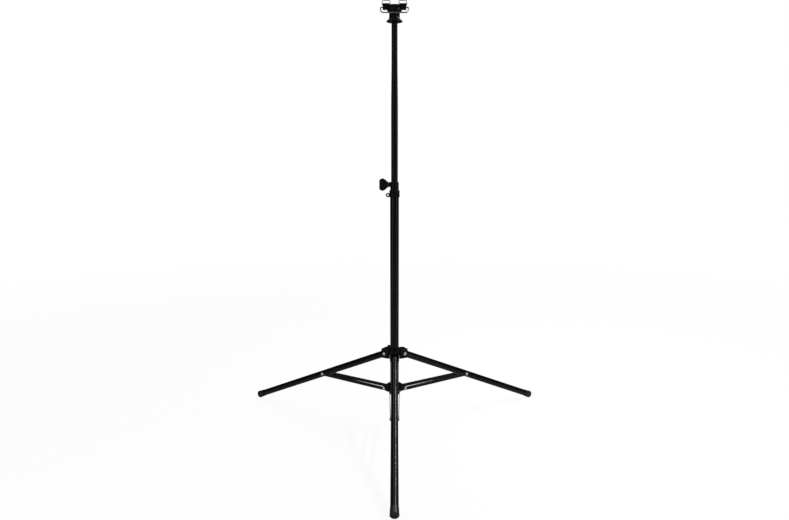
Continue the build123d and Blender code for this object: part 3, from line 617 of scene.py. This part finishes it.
section_line = add_node(
    turned_group, "GeometryNodeMeshToCurve", {"Mesh": turned_in["Half Section"]}
)
turned_solid = turned_section(
    turned_group, section_line.outputs[0], turned_in["Rail"], turned_in["Sides"]
)
place = add_node(turned_group, "GeometryNodeInputPosition")
place_parts = add_node(turned_group, "ShaderNodeSeparateXYZ", {"Vector": place.outputs[0]})
flat_place = add_node(
    turned_group, "ShaderNodeVectorMath", {0: place.outputs[0], 1: (1, 1, 0)}, operation="MULTIPLY"
)
axis_gap = add_node(
    turned_group, "ShaderNodeVectorMath", {0: flat_place.outputs[0]}, operation="LENGTH"
)
bearing = maths(turned_group, "ARCTAN2", place_parts.outputs["Y"], place_parts.outputs["X"])
turns = maths(turned_group, "DIVIDE", bearing, 2 * pi)
flutes_on = maths(turned_group, "MULTIPLY", turns, turned_in["Flutes"])
cell = maths(turned_group, "WRAP", flutes_on, 0.5, -0.5)
sideways = maths(
    turned_group,
    "DIVIDE",
    maths(turned_group, "MULTIPLY", cell, axis_gap.outputs["Value"]),
    maths(turned_group, "DIVIDE", turned_in["Flutes"], 2 * pi),
)
across_flute = maths(turned_group, "DIVIDE", sideways, turned_in["Flute Half Width"])
hollow = maths(
    turned_group,
    "MAXIMUM",
    maths(turned_group, "SUBTRACT", 1.0, maths(turned_group, "POWER", across_flute, 2.0)),
    0.0,
)
run_out = 0.0012        # the length over which a flute fades at each end
rising = add_node(
    turned_group,
    "ShaderNodeMapRange",
    {
        "Value": place_parts.outputs["Z"],
        "From Min": turned_in["Flute Bottom"],
        "From Max": maths(turned_group, "ADD", turned_in["Flute Bottom"], run_out),
    },
    interpolation_type="SMOOTHSTEP",
)
ending = add_node(
    turned_group,
    "ShaderNodeMapRange",
    {
        "Value": place_parts.outputs["Z"],
        "From Min": turned_in["Flute Top"],
        "From Max": maths(turned_group, "SUBTRACT", turned_in["Flute Top"], run_out),
    },
    interpolation_type="SMOOTHSTEP",
)
on_wall = maths(
    turned_group, "GREATER_THAN", axis_gap.outputs["Value"], turned_in["Flute Wall"]
)
cut = maths(
    turned_group,
    "MULTIPLY",
    maths(turned_group, "MULTIPLY", hollow, turned_in["Flute Depth"]),
    maths(
        turned_group,
        "MULTIPLY",
        on_wall,
        maths(turned_group, "MULTIPLY", rising.outputs[0], ending.outputs[0]),
    ),
)
inward = add_node(
    turned_group, "ShaderNodeVectorMath", {0: flat_place.outputs[0]}, operation="NORMALIZE"
)
move = add_node(
    turned_group,
    "ShaderNodeVectorMath",
    {0: inward.outputs[0], "Scale": maths(turned_group, "MULTIPLY", cut, -1.0)},
    operation="SCALE",
)
fluted = add_node(
    turned_group, "GeometryNodeSetPosition", {"Geometry": turned_solid, "Offset": move.outputs[0]}
)
turned_way = add_node(
    turned_group, "FunctionNodeAlignRotationToVector", {"Vector": turned_in["Aim"]}, axis="Z"
)
seated = add_node(
    turned_group,
    "GeometryNodeTransform",
    {
        "Geometry": fluted.outputs[0],
        "Translation": turned_in["Seat"],
        "Rotation": turned_way.outputs[0],
    },
)
turned_real = add_node(
    turned_group, "GeometryNodeRealizeInstances", {"Geometry": seated.outputs[0]}
)
turned_done = add_node(
    turned_group,
    "GeometryNodeSetMaterial",
    {"Geometry": turned_real.outputs[0], "Material": turned_in["Finish"]},
)
turned_group.links.new(turned_done.outputs[0], turned_out["Geometry"])


def turned(name, corners, material, body, node, slot_name, closed=True, **sizes):
    """A piece turned from a half section's corners (radius, height, rounding), for one node."""
    section = rounded_line(corners, closed)
    points = [(radius, height, 0.0) for radius, height in section]
    edges = [(index, index + 1) for index in range(len(points) - 1)]
    if closed:
        edges.append((len(points) - 1, 0))
    values = {label.replace("_", " ").title(): value for label, value in sizes.items()}
    values["Rail"] = max(radius for radius, _ in section)
    values["Finish"] = material
    mesh = mesh_from_nodes(name, points, edges, turned_group, values)
    return finish_piece(name, mesh, material, body, node)


mast_radius = 0.0095
mast_tip_radius = 0.0083
mast_wall = 0.0012
mast_bottom = joint_of["mast_turn"]["pos_m"][2]
mast_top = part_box("upper_tube")[1].z
bush_gap = 0.00006
bead_radius = 0.0104
bead_height = 0.002
bead_rounding = 0.0008
bead_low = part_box("mast_bush")[1].z + bush_gap
bead_high = bead_low + bead_height
swage_start = 0.389         # up the mast from its lower end
swage_length = 0.125
swage_bend = 4.0            # metres: the swage turns very gently into both tubes
swage_low = mast_bottom + swage_start
swage_high = swage_low + swage_length
cut_rounding = 0.0003
rim_rounding = 0.0004
turned(
    "mast",
    [
        (mast_radius, mast_bottom, cut_rounding),
        (mast_radius, bead_low, rim_rounding),
        (bead_radius, bead_low, bead_rounding),
        (bead_radius, bead_high, bead_rounding),
        (mast_radius, bead_high, rim_rounding),
        (mast_radius, swage_low, swage_bend),
        (mast_tip_radius, swage_high, swage_bend),
        (mast_tip_radius, mast_top, rim_rounding),
        (mast_tip_radius - mast_wall, mast_top, rim_rounding),
        (mast_tip_radius - mast_wall, swage_high, swage_bend),
        (mast_radius - mast_wall, swage_low, swage_bend),
        (mast_radius - mast_wall, mast_bottom, cut_rounding),
    ],
    column_enamel,
    "mast",
    "upper_tube",
    "column_black",
    sides=96,
)
bush_nylon = moulded("bush_nylon", tint=(0.42, 0.42, 0.4))
dress(bush_nylon, "mast_bush")
dress(moulded_nylon, "mast_end_plug")

# ---------------------------------------------------------------- wing screws
# Two heart-shaped wings of satin moulded plastic, each with a round neck and a raised rim around a
# hollow web, moulded over a zinc-plated screw. The screw presses a brass shoe on the tube. One wing
# locks the mast, the other the sliding hub.

wing_plastic = moulded("wing_plastic", tint=(0.006, 0.006, 0.0068), grain=3200.0, depth=0.000005)
neck_radius = 0.007
neck_cover = 0.0012         # the plastic over the screw's end
neck_foot_rounding = 0.0004
neck_end_rounding = 0.003
shoulder_rounding = 0.007
lobe_reach = 0.026
lobe_span = 0.86            # the lobes' tips, as a share of the half span
lobe_rounding = 0.008
notch_reach = 0.0254
notch_rounding = 0.06
half_band = 0.0022          # half the flat band around the wing
face_on = 0.9               # how much a face's normal lies along the wing's own
rim_edge = 0.0018           # radius of the rim's rounded outer edge
rim_edge_steps = 5
# insets and rises from that edge over the rim's land and down to the web
rim_to_web = [(0.0009, 0.0), (0.0004, -0.0002), (0.0008, -0.0012), (0.0006, -0.0002)]


def quarter_round(radius, steps):
    """The insets and rises that round an edge by a quarter turn."""
    turn = radians(90) / steps
    return [
        (
            radius * (cos(turn * step) - cos(turn * (step + 1))),
            radius * (sin(turn * (step + 1)) - sin(turn * step)),
        )
        for step in range(steps)
    ]


def wing(name, node, screw, seat, away, along, half_span, widest, body):
    """A wing from the face of its boss outwards, its span along one direction."""
    outline = rounded_line(
        [
            (0.0, neck_radius, 0.0),
            (widest, half_span, shoulder_rounding),
            (lobe_reach, lobe_span * half_span, lobe_rounding),
            (notch_reach, 0.0, notch_rounding),
            (lobe_reach, -lobe_span * half_span, lobe_rounding),
            (widest, -half_span, shoulder_rounding),
            (0.0, -neck_radius, 0.0),
        ],
        closed=True,
        steps=8,
    )
    away = Vector(away)
    along = Vector(along)
    normal = away.cross(along)
    shape = bmesh.new()
    for way in (1, -1):
        corners = [
            shape.verts.new(seat + away * out + along * across + normal * way * half_band)
            for out, across in outline
        ]
        shape.faces.new(corners if way > 0 else corners[::-1])
    bmesh.ops.bridge_loops(shape, edges=shape.edges)
    bmesh.ops.recalc_face_normals(shape, faces=shape.faces)
    tops = [face for face in shape.faces if abs(face.normal.dot(normal)) > face_on]
    for width, rise in quarter_round(rim_edge, rim_edge_steps) + rim_to_web:
        bmesh.ops.inset_region(
            shape, faces=tops, thickness=width, depth=rise, use_even_offset=True, use_boundary=True
        )
    screw_end = max((corner - seat).dot(away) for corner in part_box(screw))
    neck_end = screw_end + neck_cover
    neck_line = rounded_line(
        [
            (0.0, 0.0, 0),
            (neck_radius, 0.0, neck_foot_rounding),
            (neck_radius, neck_end, neck_end_rounding),
            (0.0, neck_end, 0),
        ]
    )
    neck = mesh_from_nodes(
        f"{name}_neck",
        [(radius, height, 0.0) for radius, height in neck_line],
        [(index, index + 1) for index in range(len(neck_line) - 1)],
        turned_group,
        {"Rail": neck_radius, "Sides": 64, "Seat": seat, "Aim": away, "Finish": wing_plastic},
    )
    shape.from_mesh(neck)
    bpy.data.meshes.remove(neck)
    mesh = bpy.data.meshes.new(name)
    shape.to_mesh(mesh)
    shape.free()
    return finish_piece(name, mesh, wing_plastic, body, node)


clamp_seat = Vector(joint_of["clamp_screw_turn"]["pos_m"])
hub_seat = Vector(joint_of["hub_screw_turn"]["pos_m"])
hub_seat.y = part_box("hub_wing")[0].y
hub_tilt = radians(23)
wing(
    "mast_lock_wing",
    "clamp_wing",
    "clamp_screw",
    clamp_seat,
    away=(-1, 0, 0),
    along=(0, 0, 1),
    half_span=0.0179,
    widest=0.0137,
    body="clamp_knob",
)
wing(
    "hub_lock_wing",
    "hub_wing",
    "hub_screw",
    hub_seat,
    away=(0, 1, 0),
    along=(-cos(hub_tilt), 0.0, sin(hub_tilt)),
    half_span=0.024,
    widest=0.0151,
    body="hub_knob",
)
screw_zinc = bare_metal("screw_zinc", (0.5, 0.5, 0.49), 0.3)
brass = bare_metal("shoe_brass", (0.72, 0.5, 0.2), 0.3)
dress(screw_zinc, "clamp_screw", "hub_screw")
dress(brass, "clamp_shoe", "hub_shoe")

# ---------------------------------------------------------------- head
# A slit nylon stem pushed over the mast's tip, with a round boss and a deck above it. Two blocks
# are screwed on tenons of the deck from below. The bell-shaped nut closes the stem on the mast; its
# neck has twelve flutes for the fingers.

for name, node in (
    ("head_moulding", "head_body"),
    ("end_block_left", "cradle_block_left"),
    ("end_block_right", "cradle_block_right"),
):
    rounded_moulding(name, node, moulded_nylon, "head", moulding_rounding)
dress(screw_zinc, "cradle_screws")

nut_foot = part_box("bell_nut")[0].z
nut_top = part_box("bell_nut")[1].z
thread_bore = 0.01206
mast_bore = 0.0089
bore_foot = nut_foot + 0.0028
bore_shoulder = nut_foot + 0.0069
nut_neck = 0.01475
neck_row = 0.0004           # the neck's wall is divided into rows, for the flutes
neck_rows = 22
flare_high = nut_top - 0.0092
flare_low = nut_foot + 0.0028
flare_widening = 0.00715
flare_hollow = 0.00206      # how far the flare's middle lies inside a straight cone
flare_sag = 0.00123         # and below it
flare_steps = 16
flute_depth = 0.0006
flute_margin = 0.001        # the plain rim above the flutes

neck_wall = [(nut_neck, nut_top - neck_row * row, 0) for row in range(2, neck_rows + 1)]
flare_points = []
for step in range(flare_steps + 1):
    down = step / flare_steps
    bow = 4 * down * (1 - down)     # nothing at the flare's ends and one at its middle
    flare_points.append(
        (
            nut_neck + down * flare_widening - bow * flare_hollow,
            flare_high - down * (flare_high - flare_low) - bow * flare_sag,
            0,
        )
    )
bell_radius = 0.0223
bell_mouth = 0.0185
bell_lip = [
    (bell_radius - 0.0001, nut_foot + 0.0022, 0),
    (bell_radius, nut_foot + 0.0014, 0),
    (bell_radius - 0.0005, nut_foot + 0.0004, 0),
    (bell_radius - 0.0014, nut_foot, 0),
    (bell_mouth, nut_foot, 0.0004),
]
bore_steps = [
    (mast_bore, bore_foot, 0.0004),
    (mast_bore, bore_shoulder, 0.0002),
    (thread_bore, bore_shoulder, 0.0002),
]
nut_rim = [(thread_bore, nut_top, 0.0003), (nut_neck, nut_top, 0.0005)]
turned(
    "bell_nut_fluted",
    nut_rim + neck_wall + flare_points + bell_lip + bore_steps,
    moulded_nylon,
    "bell_nut",
    "bell_nut",
    "moulded_black",
    sides=288,
    flute_depth=flute_depth,
    flute_bottom=flare_high - flute_depth,
    flute_top=nut_top - flute_margin,
)

# ---------------------------------------------------------------- wire bails
# Drawn spring wire, nickel-plated and a little tarnished, bent to loops whose ends spring into the
# blocks: one long loop hangs in front, a short one stands over each block.

wire_steel = bare_metal("wire_steel", (0.42, 0.42, 0.43), 0.28)
dress(wire_steel, "front_bail", "top_bail_left", "top_bail_right")

# ---------------------------------------------------------------- sliding hub
# Nylon moulding that runs on the column: a sleeve with three hooded clevises for the legs, and a
# boss at the back for the lock screw.

hub_rounding = 0.0007
rounded_moulding(
    "sliding_hub", "upper_hub", moulded_nylon, "leg_hub", hub_rounding
)

# ---------------------------------------------------------------- legs
# Round enamelled tube, a little glossier than the column. A grey nylon plug fills the hub end, a
# steel pin for the struts goes through the middle, and a moulded rubber foot is pushed on the end.

plug_nylon = moulded("plug_nylon", tint=(0.1, 0.1, 0.1))
rubber = moulded(
    "foot_rubber",
    tint=(0.0075, 0.0075, 0.0078),
    grain=1500.0,
    depth=0.000014,
    specular=0.45,
)
tube_end = 0.533            # heights along the leg, from its pivot
foot_mouth = 0.519
groove_high = 0.5224
groove_low = 0.5234
foot_waist = 0.5285
foot_base = 0.5415
groove_slope = 0.0004       # the height of the groove's slanted sides
tread_depth = 0.0004
foot_bore = 0.00975
groove_radius = 0.0103
ridge_radius = 0.01055
foot_radius = 0.0106
base_radius = 0.0115
soft_edge = 0.0002

foot_wall = [
    (0.0, tube_end, 0),
    (foot_bore, tube_end, 0.0004),
    (foot_bore, foot_mouth, soft_edge),
    (groove_radius, foot_mouth, soft_edge),
    (foot_radius, groove_high - groove_slope, 0.0003),
    (groove_radius, groove_high, soft_edge),
    (groove_radius, groove_low, soft_edge),
    (ridge_radius, groove_low + groove_slope, 0.0003),
    (foot_radius, foot_waist, 0.008),
    (base_radius, foot_base, 0.0032),
]
foot_tread = [
    (0.0072, foot_base, soft_edge),
    (0.0069, foot_base - tread_depth, soft_edge),
    (0.0058, foot_base - tread_depth, soft_edge),
    (0.0055, foot_base, soft_edge),
    (0.0036, foot_base, soft_edge),
    (0.0033, foot_base - tread_depth, soft_edge),
    (0.0, foot_base - tread_depth, 0),
]
leg_way = {leg: (strut_seat[leg] - leg_pivot[leg]).normalized() for leg in leg_names}
for leg in leg_names:
    leg_enamel = enamel(f"leg_enamel_{leg}", leg_way[leg], shine=0.13, dull=0.22)
    dress(leg_enamel, f"leg_tube_{leg}")
    dress(plug_nylon, f"leg_plug_{leg}")
    dress(rivet_steel, f"strut_pin_{leg}")
    turned(
        f"rubber_foot_{leg}",
        foot_wall + foot_tread,
        rubber,
        f"leg_{leg}",
        f"foot_cap_{leg}",
        "foot_rubber",
        closed=False,
        sides=96,
        seat=leg_pivot[leg],
        aim=leg_way[leg],
    )

# ---------------------------------------------------------------- struts
# Pairs of flat steel strips, punched out, tumbled so that their edges are round, and enamelled.
# Each pair straddles a lug of the fixed hub and the pin of its leg.

strip_rounding = 0.0003
for leg in leg_names:
    strip_way = strut_seat[leg] - strut_pivot[leg]
    strip_enamel = enamel(f"strip_enamel_{leg}", strip_way, shine=0.2, dull=0.34)
    rounded_moulding(
        f"strips_{leg}",
        f"strut_strips_{leg}",
        strip_enamel,
        f"strut_{leg}",
        strip_rounding,
    )

# ---------------------------------------------------------------- floor and light
# A white paper sweep under the stand. Two tall soft boxes stand at its front corners and a strip
# hangs over it. Black cards around and above it and a grey one over the floor, which show in
# reflections only, keep the white room out of the enamel.

sweep_reach = 9.0
floor_shape = bmesh.new()
bmesh.ops.create_grid(floor_shape, x_segments=8, y_segments=8, size=sweep_reach)
floor_mesh = bpy.data.meshes.new("floor")
floor_shape.to_mesh(floor_mesh)
floor_shape.free()
floor = bpy.data.objects.new("floor", floor_mesh)
bpy.context.scene.collection.objects.link(floor)


def shown_rays(tree):
    """One for the rays that show the background: to the camera, in metal or through glass."""
    seen = add_node(tree, "ShaderNodeLightPath").outputs
    mirrored = maths(tree, "MAXIMUM", seen["Is Camera Ray"], seen["Is Glossy Ray"])
    return maths(tree, "MAXIMUM", mirrored, seen["Is Transmission Ray"])


floor_paper = bpy.data.materials.new("floor_paper")
floor_paper.use_nodes = True
paper = floor_paper.node_tree
paper.nodes.clear()
floor_place = add_node(paper, "ShaderNodeTexCoord")
floor_gap = add_node(
    paper, "ShaderNodeVectorMath", {0: floor_place.outputs["Object"]}, operation="LENGTH"
)
fade = add_node(
    paper,
    "ShaderNodeMapRange",
    {
        "Value": floor_gap.outputs["Value"],
        "From Min": 0.5,
        "From Max": 4.0,
        "To Min": 0.9,
        "To Max": 1.0,
    },
    interpolation_type="SMOOTHSTEP",
)
shown = maths(paper, "MULTIPLY", shown_rays(paper), fade.outputs[0])
matt = add_node(paper, "ShaderNodeBsdfDiffuse", {"Color": (0.86, 0.86, 0.86, 1)})
white = add_node(paper, "ShaderNodeEmission", {"Color": (1, 1, 1, 1), "Strength": 1.0})
both = add_node(paper, "ShaderNodeMixShader", {0: shown, 1: matt.outputs[0], 2: white.outputs[0]})
add_node(paper, "ShaderNodeOutputMaterial", {"Surface": both.outputs[0]})
floor_mesh.materials.append(floor_paper)

world = bpy.data.worlds.new("studio")
bpy.context.scene.world = world
world.use_nodes = True
sky = world.node_tree
sky.nodes.clear()
strength = add_node(
    sky, "ShaderNodeMapRange", {"Value": shown_rays(sky), "To Min": 0.55, "To Max": 1.0}
)
backing = add_node(
    sky, "ShaderNodeBackground", {"Color": (1, 1, 1, 1), "Strength": strength.outputs["Result"]}
)
add_node(sky, "ShaderNodeOutputWorld", {"Surface": backing.outputs[0]})


def turned_to(holder, place, target):
    """Puts a light or a card in its place, facing a target."""
    bpy.context.scene.collection.objects.link(holder)
    holder.location = place
    holder.rotation_euler = (Vector(target) - Vector(place)).to_track_quat("-Z", "Y").to_euler()
    holder.visible_camera = False


def soft_box(name, place, target, size, watts):
    """A rectangular soft box that the camera doesn't see."""
    lamp = bpy.data.lights.new(name, "AREA")
    lamp.shape = "RECTANGLE"
    lamp.size, lamp.size_y = size
    lamp.energy = watts
    turned_to(bpy.data.objects.new(name, lamp), place, target)


def card_paint(name, shade):
    """Dull card of one grey."""
    paint = bpy.data.materials.new(name)
    paint.use_nodes = True
    sockets = paint.node_tree.nodes["Principled BSDF"].inputs
    sockets["Base Color"].default_value = (shade, shade, shade, 1)
    sockets["Specular IOR Level"].default_value = 0.0
    return paint


black_card = card_paint("black_card", 0.0)
grey_card = card_paint("grey_card", 0.35)


def flag(name, place, target, width, height, paint):
    """A card that shows in reflections only."""
    shape = bmesh.new()
    bmesh.ops.create_grid(shape, x_segments=1, y_segments=1, size=0.5)
    bmesh.ops.scale(shape, vec=(width, height, 1.0), verts=shape.verts)
    mesh = bpy.data.meshes.new(name)
    shape.to_mesh(mesh)
    shape.free()
    mesh.materials.append(paint)
    card = bpy.data.objects.new(name, mesh)
    turned_to(card, place, target)
    card.visible_diffuse = False
    card.visible_shadow = False


card_ring = 10              # black cards side by side around the stand
ring_radius = 2.6
ring_height = 3.0
ring_card_width = 1.75
ring_middle = Vector((0, 0, 1.3))
for index in range(card_ring):
    heading = radians(360 * index / card_ring - 90)
    outwards = Vector((cos(heading), sin(heading), 0.0))
    spot = outwards * ring_radius + ring_middle
    flag(f"side_card_{index}", spot, ring_middle, ring_card_width, ring_height, black_card)

roof = 2.8                  # two black cards with a gap between them for the strip's light
roof_depth = 5.0
for name, across, width in (("roof_card_left", -2.3, 1.4), ("roof_card_right", 1.45, 3.1)):
    flag(name, (across, 0.3, roof), (across, 0.3, 0), width, roof_depth, black_card)

floor_card_gap = 0.0005
floor_card_side = 5.2
flag("floor_card", (0, 0, floor_card_gap), (0, 0, 1), floor_card_side, floor_card_side, grey_card)

tall_box = (0.3, 1.8)       # width and height of the boxes at the front corners
tall_box_watts = 5.5
box_aim = (0, 0, 0.6)
soft_box("left_box", (-1.35, -1.15, 0.9), box_aim, tall_box, tall_box_watts)
soft_box("right_box", (1.55, -0.75, 0.9), box_aim, tall_box, tall_box_watts)
soft_box("top_strip", (1.14, 0.4, 2.1), (0, 0.4, 0.1), size=(1.7, 0.1), watts=36.0)

camera_dip = 0.1463         # radians below the horizontal
camera_lens = bpy.data.cameras.new("camera")
camera_lens.sensor_width = 36.0
camera_lens.lens = 30.65
camera = bpy.data.objects.new("camera", camera_lens)
bpy.context.scene.collection.objects.link(camera)
camera.location = (0.0, -1.912, 0.787)
camera.rotation_euler = (pi / 2 - camera_dip, 0.0, 0.0)
bpy.context.scene.camera = camera
bpy.context.scene.view_settings.view_transform = "Standard"
